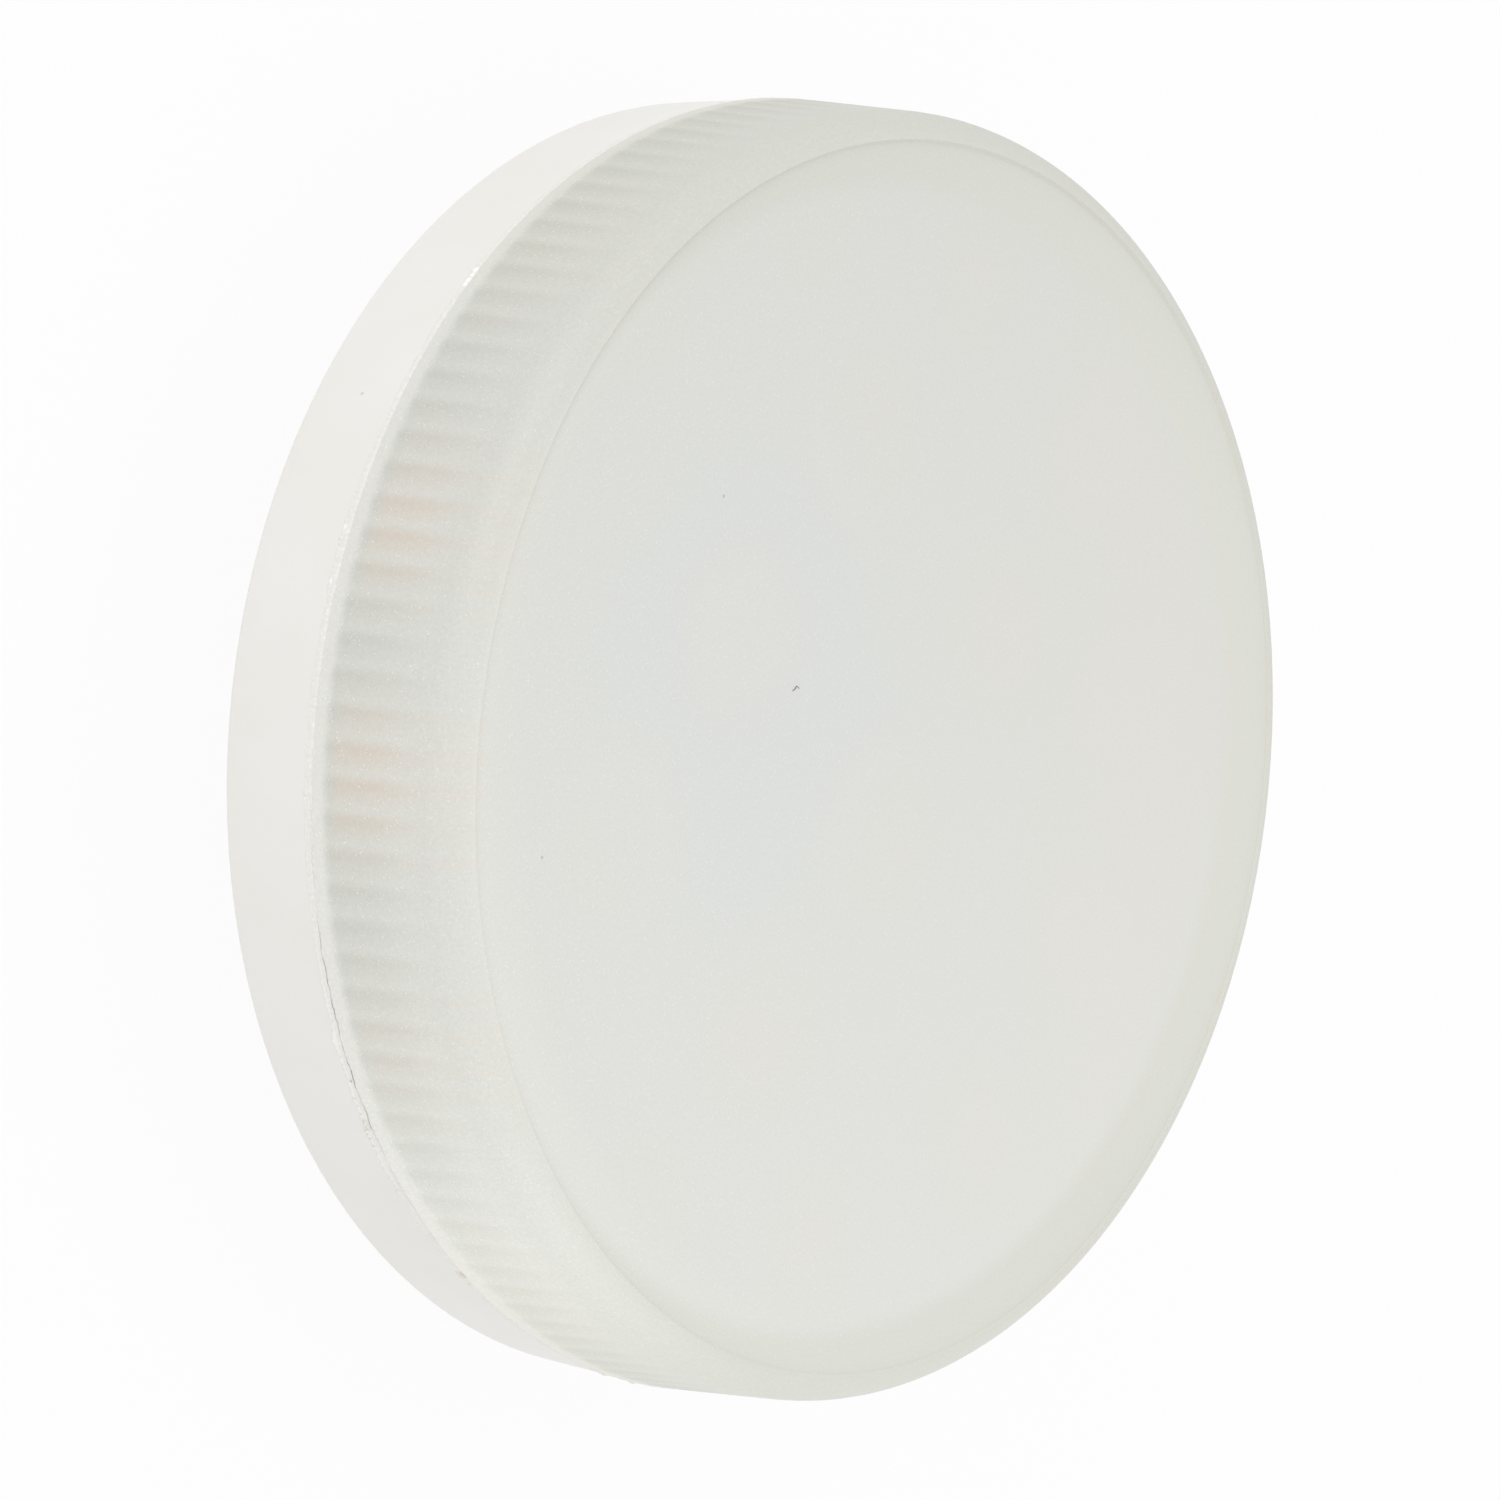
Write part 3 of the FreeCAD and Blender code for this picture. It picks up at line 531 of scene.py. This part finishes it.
# section: an oval whose reach and height change round the ring, point = centre + reach * cos(v), height * sin(v);
# below its middle it is fuller, with the root of the cosine, and sags where it spreads over the housing
def makeSeamBead():
    turn = np.linspace(0, 2 * math.pi, bead["around"], endpoint=False)
    degrees = np.degrees(turn)
    around = np.linspace(2 * math.pi, 0, bead["section"], endpoint=False)
    waves = np.stack([ringNoise(turn, *bead["softWaves"]), ringNoise(turn, *bead["sharpWaves"])])
    lumps = bells(degrees, bead["lumps"])
    spread = bells(degrees, bead["spread"])
    reach = bead["reach"] + bead["reachRag"] @ waves + lumps + bead["spreadReach"] * spread
    reach = np.clip(reach, bead["leastReach"], bead["mostReach"])
    sag = bead["sag"] * spread * (1 + bead["sagRag"] @ waves)
    height = bead["halfHeight"] * (1 + bead["heightRag"] @ waves) + lumps * 0.5
    below = np.minimum(np.sin(around), 0.0)
    fullness = np.sign(np.cos(around)) * np.sqrt(np.abs(np.cos(around)))
    outward = np.where(below < 0, fullness, np.cos(around))
    radius = bead["radius"] + reach[:, None] * outward[None, :]
    z = bead["level"] + height[:, None] * np.sin(around)[None, :] + sag[:, None] * below[None, :]
    points = np.stack([radius * np.cos(turn)[:, None], radius * np.sin(turn)[:, None], z], axis=-1)
    return wrapMesh("seamBeadRagged", points)


# spots of a list of angle, level and reach on the bead, joined into one amount
def marks(at, places):
    total = None
    for angle, level, reach in places:
        turn = math.radians(angle)
        spot = spotAt(at, (lamp["seamRadius"] * math.cos(turn), lamp["seamRadius"] * math.sin(turn), level), reach)
        total = spot if total is None else at.maths("MAXIMUM", total, spot)
    return total


# painted shade: a wavering dark line where the joint gapes, broken here and there
def gapShadeLine(at, angle, z):
    side, *widths = bead["gape"]
    full, faint, none = (math.cos(math.radians(width)) for width in widths)
    facing = at.maths("COSINE", angle - math.radians(side))
    gaping = rise(facing, none, faint) * bead["faint"] + rise(facing, faint, full) * (1 - bead["faint"])
    waver = grain(stretched(at, (1.0, 1.0, 0.0)), 0.9, 3.0, 0.6) * bead["gapShadeWaver"]
    aside = at.maths("ABSOLUTE", z + waver - bead["gapShadeLevel"])
    whole = rise(grain(moved(at, (0.0, 9.0, 0.0)), 1.1, 1.0), -0.12, 0.08)
    strength = bead["gapShadeLeast"] + whole * (1 - bead["gapShadeLeast"])
    return rise(aside, bead["gapShadeWidth"], bead["gapShadeWidth"] * 0.3) * gaping * strength


def beadPattern(at):
    x, y, z = parts(at)
    angle = at.maths("ARCTAN2", y, x)
    fine = grain(at, 4.5, 3.0, 0.6)
    flakes = dots(at, *bead["flakes"])
    colour = blend(rise(fine, -0.02, 0.2), bead["cream"], bead["bright"])
    colour = blend(flakes * 0.6, colour, bead["bright"])
    # painted light: the bead's lower part made paler to lift the shade that falls under it, most where the joint gapes
    footLightShow = bead["footLightShow"] + lobe(angle, bead["gape"][0], 12.0) * bead["gapeFootLight"]
    colour = blend(rise(z, *bead["footLevels"]) * footLightShow, colour, bead["foot"])
    patchy = rise(grain(moved(at, (5.0, 0.0, 2.0)), 2.6, 2.0), -0.12, 0.14)
    colour = blend(marks(at, bead["stains"]) * patchy, colour, bead["stain"])
    # painted shade in the open joint as a dark line; the same line also dents the bump a little
    gapShade = gapShadeLine(at, angle, z)
    colour = blend(gapShade, colour, bead["gapShade"])
    colour = blend(marks(at, bead["dots"]) * 0.8, colour, bead["dark"])
    colour = blend(marks(at, bead["chips"]), colour, bead["chip"])
    return {
        "Base Color": colour,
        "Roughness": 0.36 + fine * 0.25,
        "Normal": bump(fine + flakes * 0.5 - gapShade * 0.6, bead["relief"]),
    }


seamBead = makeSeamBead()
seamBead.data.materials.append(makeFinish("curedBead", {"Specular IOR Level": 0.45, "Coat Weight": 0.15}, beadPattern))
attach(seamBead, "root")
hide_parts("seam_bead")
print("seam bead laid:", len(seamBead.data.polygons), "faces")

hair = {
    "place": (-10.0, 4.0),
    "heading": 24.0,
    "length": 0.62,
    "curve": 0.16,
    "wriggle": 0.05,
    "lift": 0.012,                              # of its middle off the face
    "thickness": 0.021,
    "along": 26,                                # points of the mesh
    "around": 8,
    "tone": tone(134, 128, 120),
    "darkTone": tone(90, 84, 76),
    "relief": 0.000004,
}


# a thin tube lying on the face: its middle line is a parabola with a little sine on it, and its thickness is the
# root of 1 less the fourth power of the way along, so both ends are drawn to a point
def makeHair():
    along = np.linspace(-1, 1, hair["along"])[:, None]
    around = np.linspace(0, 2 * math.pi, hair["around"], endpoint=False)[:, None]
    heading = math.radians(hair["heading"])
    ahead = np.array([math.cos(heading), math.sin(heading), 0.0])
    aside = np.array([-math.sin(heading), math.cos(heading), 0.0])
    upward = np.array([0.0, 0.0, 1.0])
    forward = along * hair["length"] / 2
    sideways = hair["curve"] * (1 - along ** 2) + hair["wriggle"] * np.sin(along * 5)
    thick = hair["thickness"] * np.sqrt(1 - along ** 4)
    height = thick * 0.9 + hair["lift"] * (1 - along ** 2)
    start = np.array([*hair["place"], lamp["faceLevel"]])
    middle = start + forward * ahead + sideways * aside + height * upward
    ring = np.cos(around) * aside + np.sin(around) * upward
    return wrapMesh("faceHair", middle[:, None, :] + thick[:, :, None] * ring[None, :, :], closedRows=False)


def hairPattern(at):
    fine = grain(at, 20.0, 2.0)
    return {
        "Base Color": blend(fine + 0.5, hair["tone"], hair["darkTone"]),
        "Roughness": 0.5 + fine * 0.3,
        "Normal": bump(fine, hair["relief"]),
    }


faceHair = makeHair()
faceHair.data.materials.append(makeFinish("hairFibre", {}, hairPattern))
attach(faceHair, "root")
print("hair laid on the face")


# metals: fine streaks along one direction over a clouded colour, with a few dull pits
def metalPattern(settings):
    def pattern(at):
        streaks = grain(stretched(at, settings["stretch"]), 1.0, 3.0, 0.6)
        cloud = grain(at, settings["cloud"], 2.0) + 0.5
        pits = dots(at, settings["pitCells"], 0.86, 0.18)
        colour = blend(rise(cloud, 0.35, 0.7), settings["clean"], settings["dull"])
        colour = blend(pits * 0.5, colour, settings["dull"])
        return {
            "Base Color": shade(colour, 1 + streaks * 0.12),
            "Roughness": settings["roughness"] + streaks * 0.18 + pits * 0.2 + cloud * 0.08,
            "Normal": bump(streaks - pits * 0.6, settings["relief"]),
        }
    return pattern


metals = {
    "pinNickel": {
        "nodes": ["contact_pin_a", "contact_pin_b"],
        "clean": tone(208, 204, 196), "dull": tone(196, 191, 181), "roughness": 0.24,
        "stretch": (0.6, 0.6, 14.0), "cloud": 0.5, "pitCells": 2.4, "relief": 0.000006,
    },
    "tagBrass": {
        "nodes": ["pin_tag_a", "pin_tag_b"],
        "clean": tone(204, 172, 104), "dull": tone(160, 128, 78), "roughness": 0.32,
        "stretch": (10.0, 0.8, 0.8), "cloud": 0.4, "pitCells": 1.0, "relief": 0.000006,
    },
    "spreaderAluminium": {
        "nodes": ["heat_spreader"],
        "clean": tone(204, 205, 207), "dull": tone(176, 178, 182), "roughness": 0.36,
        "stretch": (0.3, 12.0, 0.3), "cloud": 0.12, "pitCells": 0.6, "relief": 0.000006,
    },
    "screwSteel": {
        "nodes": ["board_screws"],
        "clean": tone(198, 199, 200), "dull": tone(150, 150, 152), "roughness": 0.28,
        "stretch": (6.0, 6.0, 2.0), "cloud": 0.7, "pitCells": 1.6, "relief": 0.000006,
    },
    "copperWinding": {
        "nodes": ["inductor_winding"],
        "clean": tone(196, 116, 66), "dull": tone(150, 78, 40), "roughness": 0.34,
        "stretch": (0.5, 0.5, 9.0), "cloud": 0.5, "pitCells": 0.9, "relief": 0.00002,
    },
    "solderTin": {
        "nodes": ["solder_joints"],
        "clean": tone(206, 206, 204), "dull": tone(158, 158, 156), "roughness": 0.26,
        "stretch": (2.0, 2.0, 2.0), "cloud": 1.4, "pitCells": 2.4, "relief": 0.00002,
    },
}
for name, settings in metals.items():
    dress(makeFinish(name, {"Metallic": 1.0}, metalPattern(settings)), *settings["nodes"])
print("metals dressed:", len(metals))


# mouldings, coatings and insulation inside the lamp: a clouded main colour with scattered flecks of a second one
# over a fine orange-peel surface
def coatedPattern(settings):
    def pattern(at):
        cloud = grain(at, settings["cloud"], 3.0) + 0.5
        fine = grain(at, settings["peel"], 3.0, 0.6)
        flecks = dots(at, settings["fleckCells"], settings["fleckShare"], 0.22)
        colour = blend(rise(cloud, 0.3, 0.75), settings["main"], settings["shaded"])
        colour = blend(flecks * 0.7, colour, settings["fleck"])
        return {
            "Base Color": shade(colour, 1 + fine * 0.06),
            "Roughness": settings["roughness"] + fine * 0.2 + flecks * 0.1,
            "Normal": bump(fine + flecks * 0.3, settings["relief"]),
        }
    return pattern


coated = {
    "ledCase": {
        "nodes": ["led_%02d" % (index + 1) for index in range(18)],
        "main": tone(236, 234, 226), "shaded": tone(224, 220, 208), "fleck": tone(244, 243, 240),
        "cloud": 0.8, "peel": 6.0, "fleckCells": 2.0, "fleckShare": 0.8, "roughness": 0.45, "relief": 0.000006,
    },
    "ledPhosphor": {
        "nodes": ["led_phosphor"],
        "main": tone(232, 186, 84), "shaded": tone(214, 158, 58), "fleck": tone(246, 214, 130),
        "cloud": 1.2, "peel": 9.0, "fleckCells": 7.0, "fleckShare": 0.5, "roughness": 0.4, "relief": 0.00001,
    },
    "capacitorSleeve": {
        "nodes": ["bulk_capacitor", "output_capacitor"],
        "main": tone(34, 38, 48), "shaded": tone(24, 27, 34), "fleck": tone(62, 66, 76),
        "cloud": 0.2, "peel": 1.6, "fleckCells": 0.8, "fleckShare": 0.93, "roughness": 0.34, "relief": 0.00002,
    },
    "ferrite": {
        "nodes": ["inductor_core"],
        "main": tone(58, 56, 55), "shaded": tone(44, 43, 42), "fleck": tone(96, 92, 88),
        "cloud": 0.6, "peel": 5.0, "fleckCells": 3.0, "fleckShare": 0.8, "roughness": 0.62, "relief": 0.00003,
    },
    "resistorLacquer": {
        "nodes": ["fusible_resistor"],
        "main": tone(96, 132, 120), "shaded": tone(76, 112, 100), "fleck": tone(124, 158, 146),
        "cloud": 0.7, "peel": 2.2, "fleckCells": 1.6, "fleckShare": 0.85, "roughness": 0.36, "relief": 0.00002,
    },
    "chipEpoxy": {
        "nodes": ["bridge_rectifier", "driver_chip", "freewheel_diode", "chip_resistors"],
        "main": tone(40, 40, 42), "shaded": tone(30, 30, 32), "fleck": tone(66, 66, 68),
        "cloud": 0.5, "peel": 8.0, "fleckCells": 5.0, "fleckShare": 0.75, "roughness": 0.55, "relief": 0.000012,
    },
    "filmCase": {
        "nodes": ["film_capacitor"],
        "main": tone(196, 62, 44), "shaded": tone(176, 50, 36), "fleck": tone(212, 96, 78),
        "cloud": 0.25, "peel": 3.0, "fleckCells": 1.4, "fleckShare": 0.9, "roughness": 0.4, "relief": 0.00001,
    },
    "varistorCoat": {
        "nodes": ["varistor"],
        "main": tone(44, 84, 150), "shaded": tone(34, 68, 128), "fleck": tone(78, 118, 178),
        "cloud": 0.4, "peel": 1.4, "fleckCells": 1.2, "fleckShare": 0.85, "roughness": 0.32, "relief": 0.00004,
    },
    "leadWhite": {
        "nodes": ["mains_lead_a", "mains_lead_b"],
        "main": tone(226, 226, 222), "shaded": tone(212, 211, 204), "fleck": tone(190, 188, 180),
        "cloud": 0.3, "peel": 4.0, "fleckCells": 0.9, "fleckShare": 0.94, "roughness": 0.42, "relief": 0.00001,
    },
    "leadRed": {
        "nodes": ["led_lead_plus"],
        "main": tone(184, 38, 34), "shaded": tone(160, 30, 28), "fleck": tone(206, 84, 76),
        "cloud": 0.3, "peel": 4.0, "fleckCells": 0.9, "fleckShare": 0.94, "roughness": 0.42, "relief": 0.00001,
    },
    "leadBlack": {
        "nodes": ["led_lead_minus"],
        "main": tone(38, 38, 40), "shaded": tone(28, 28, 30), "fleck": tone(76, 76, 78),
        "cloud": 0.3, "peel": 4.0, "fleckCells": 0.9, "fleckShare": 0.94, "roughness": 0.42, "relief": 0.00001,
    },
}
for name, settings in coated.items():
    dress(makeFinish(name, {"Specular IOR Level": 0.45}, coatedPattern(settings)), *settings["nodes"])
print("coated pieces dressed:", len(coated))


# circuit boards: woven glass as the product of two sines, copper tracks under the lacquer as bands of a bent noise
def boardPattern(settings):
    def pattern(at):
        x, y, z = parts(at)
        weave = at.maths("SINE", x * settings["threads"]) * at.maths("SINE", y * settings["threads"])
        bent = grain(moved(at, (7.0, 2.0, 0.0)), settings["trackCells"], 0.0)
        away = at.maths("ABSOLUTE", bent)
        tracks = rise(away, 0.075, 0.055) * rise(away, 0.012, 0.03)
        cloud = grain(at, 0.15, 2.0) + 0.5
        colour = blend(tracks * settings["trackShow"], settings["main"], settings["track"])
        colour = blend(rise(cloud, 0.4, 0.8) * 0.4, colour, settings["shaded"])
        return {
            "Base Color": shade(colour, 1 + weave * settings["weaveShow"]),
            "Roughness": 0.38 + cloud * 0.1 + weave * 0.04,
            "Normal": bump(weave * 0.3 + tracks, 0.00001),
        }
    return pattern


boards = {
    "boardWhite": {
        "nodes": ["led_board"],
        "main": tone(234, 236, 238), "track": tone(222, 225, 228), "shaded": tone(226, 228, 230),
        "threads": 9.0, "trackCells": 0.16, "trackShow": 0.8, "weaveShow": 0.01,
    },
    "driverLaminate": {
        "nodes": ["driver_board"],
        "main": tone(196, 178, 122), "track": tone(148, 158, 92), "shaded": tone(182, 162, 106),
        "threads": 9.0, "trackCells": 0.2, "trackShow": 0.7, "weaveShow": 0.05,
    },
}
for name, settings in boards.items():
    dress(makeFinish(name, {"Coat Weight": 0.2}, boardPattern(settings)), *settings["nodes"])
print("boards dressed:", len(boards))

studio = {
    "floorHalf": 4.0,                           # metres
    "floorLevel": -0.00002,                     # just under the boss's end, so the two faces don't fight
    "floorTone": 0.80,
    "floorWhite": 0.94,                         # share of plain white that cameras and mirrors see
    "worldLevel": 0.865,
    "aim": (0.0, 0.0, 0.013),                   # point that the lights face, metres
    "lights": [
        # name, angle round the lamp, height above the floor, distance, side, watts
        ("keySoftbox", 136.0, 20.0, 0.70, 0.55, 1.1),
        ("lowFill", 250.0, 24.0, 0.80, 0.60, 0.6),
        ("topSoftbox", 20.0, 72.0, 0.85, 0.70, 0.42),
    ],
}


# 1 for rays that the camera, a mirror or a lens sends out
def seenDirectly(wire):
    camera, glossy, through = wire.node(
        "ShaderNodeLightPath", output=("Is Camera Ray", "Is Glossy Ray", "Is Transmission Ray"))
    return wire.maths("MINIMUM", camera + glossy + through, 1.0)


def makeFloor():
    half, level = studio["floorHalf"], studio["floorLevel"]
    corners = np.array([[-half, -half, level], [half, -half, level], [half, half, level], [-half, half, level]])
    mesh = bpy.data.meshes.new("floor")
    mesh.from_pydata(corners, [], [(0, 1, 2, 3)])
    floor = bpy.data.objects.new("floor", mesh)
    scene.collection.objects.link(floor)
    made = bpy.data.materials.new("paleFloor")
    made.use_nodes = True
    tree = made.node_tree
    tree.nodes.clear()
    wire = Wire(tree)
    grey = studio["floorTone"]
    matt = wire.node("ShaderNodeBsdfDiffuse", inputs={"Color": (grey, grey, grey, 1.0)})
    white = wire.node("ShaderNodeEmission", inputs={"Color": (1.0, 1.0, 1.0, 1.0), "Strength": 1.0})
    mixed = wire.node("ShaderNodeMixShader", inputs={0: seenDirectly(wire) * studio["floorWhite"], 1: matt, 2: white})
    wire.node("ShaderNodeOutputMaterial", inputs={"Surface": mixed}, output=())
    mesh.materials.append(made)


def makeWorld():
    world = bpy.data.worlds.new("paleRoom")
    world.use_nodes = True
    scene.world = world
    tree = world.node_tree
    tree.nodes.clear()
    wire = Wire(tree)
    seen = seenDirectly(wire)
    strength = seen * (1.0 - studio["worldLevel"]) + studio["worldLevel"]
    back = wire.node("ShaderNodeBackground", inputs={"Color": (1.0, 1.0, 1.0, 1.0), "Strength": strength})
    wire.node("ShaderNodeOutputWorld", inputs={"Surface": back}, output=())


def makeLights():
    middle = Vector(studio["aim"])
    for name, angle, height, distance, side, watts in studio["lights"]:
        turn, lift = math.radians(angle), math.radians(height)
        towards = Vector((math.cos(turn) * math.cos(lift), math.sin(turn) * math.cos(lift), math.sin(lift)))
        data = bpy.data.lights.new(name, "AREA")
        data.shape = "SQUARE"
        data.size = side
        data.energy = watts
        light = bpy.data.objects.new(name, data)
        light.matrix_world = (Matrix.Translation(middle + towards * distance)
                              @ towards.to_track_quat("Z", "Y").to_matrix().to_4x4())
        scene.collection.objects.link(light)


makeFloor()
makeWorld()
makeLights()
print("studio built")

lens = {
    "focal": 124.8,
    "sensor": 36.0,
    "turn": 0.8563,                             # lamp's axis away from the line of sight, radians
    "roll": 0.1059,                             # that axis round the line of sight
    "offset": (1.2213, -0.1404, 302.4776),      # a point of the axis as the camera sees it: right, down, away
    "offsetLevel": 16.003,                      # that point's height on the lamp
}


# the lamp's axis seen from the camera is (sin turn cos roll, sin turn sin roll, -cos turn); the lamp's X is
# square to it and to the picture's upright, and its Y is square to both
def makeCamera():
    turn, roll = lens["turn"], lens["roll"]
    axis = np.array([math.sin(turn) * math.cos(roll), math.sin(turn) * math.sin(roll), -math.cos(turn)])
    lampX = np.cross(axis, [0.0, 1.0, 0.0])
    lampX = lampX / np.linalg.norm(lampX)
    lampY = np.cross(axis, lampX)
    toLamp = np.stack([lampX, lampY, axis])     # rows turn a camera direction into the lamp's frame
    place = -toLamp @ np.array(lens["offset"]) + np.array([0.0, 0.0, lens["offsetLevel"]])
    right, down, away = toLamp[:, 0], toLamp[:, 1], toLamp[:, 2]
    matrix = np.eye(4)
    matrix[:3, 0] = right
    matrix[:3, 1] = -down
    matrix[:3, 2] = -away
    matrix[:3, 3] = place * 0.001
    data = bpy.data.cameras.new("camera")
    data.lens = lens["focal"]
    data.sensor_width = lens["sensor"]
    data.clip_start = 0.01
    data.clip_end = 20.0
    camera = bpy.data.objects.new("camera", data)
    camera.matrix_world = Matrix(matrix.tolist())
    scene.collection.objects.link(camera)
    scene.camera = camera


makeCamera()
bpy.context.view_layer.update()
